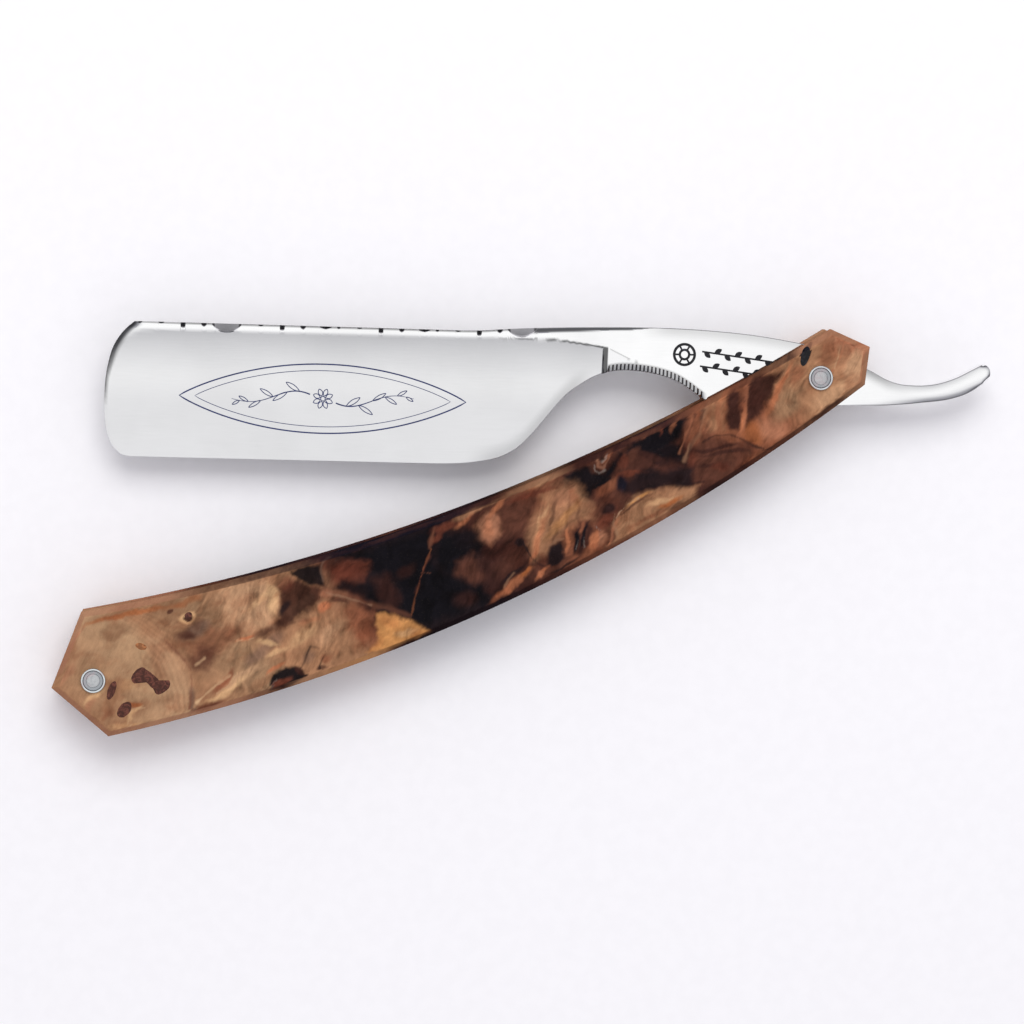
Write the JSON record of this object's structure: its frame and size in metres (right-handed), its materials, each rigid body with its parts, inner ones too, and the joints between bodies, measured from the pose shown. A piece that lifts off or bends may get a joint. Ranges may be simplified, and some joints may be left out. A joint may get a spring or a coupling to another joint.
{
  "type": "straight razor",
  "caption": "Folding straight razor with a hollow-ground square-point blade, filed spine and pointed, curved burl-wood scales on peened pins with round collars.",
  "frame": {"origin": "on the pivot axis, in the outer face of the rear scale", "axes": "+X along the blade from nose to tail, +Y from the cutting edge to the spine, +Z along the pivot axis towards the front scale"},
  "size_m": [0.1587, 0.0716, 0.0121],
  "materials": {
    "polished_steel": "mirror-polished carbon steel",
    "burl_wood": "gloss-polished stabilised burl",
    "pin_steel": "peened nickel silver",
    "collar_steel": "turned and polished",
    "washer_brass": "plain",
    "amber_resin": "clear dark amber, polished"
  },
  "bodies": {
    "scales": {"front_scale": "burl_wood", "rear_scale": "burl_wood", "wedge": "burl_wood", "pivot_pin": "pin_steel", "wedge_pin": "pin_steel", "pivot_collar_front": "collar_steel", "pivot_collar_rear": "collar_steel", "wedge_collar_front": "collar_steel", "wedge_collar_rear": "collar_steel", "pivot_washer_front": "washer_brass", "pivot_washer_rear": "washer_brass", "front_resin_fills": "amber_resin", "rear_resin_fills": "amber_resin"},
    "blade": {"blade": "polished_steel"}
  },
  "joints": [
    {"name": "blade_pivot", "type": "hinge", "parent": "scales", "child": "blade", "pos_m": [0, 0, 0.00555], "axis": [0, 0, 1], "range_deg": [-298, 20]}
  ]
}
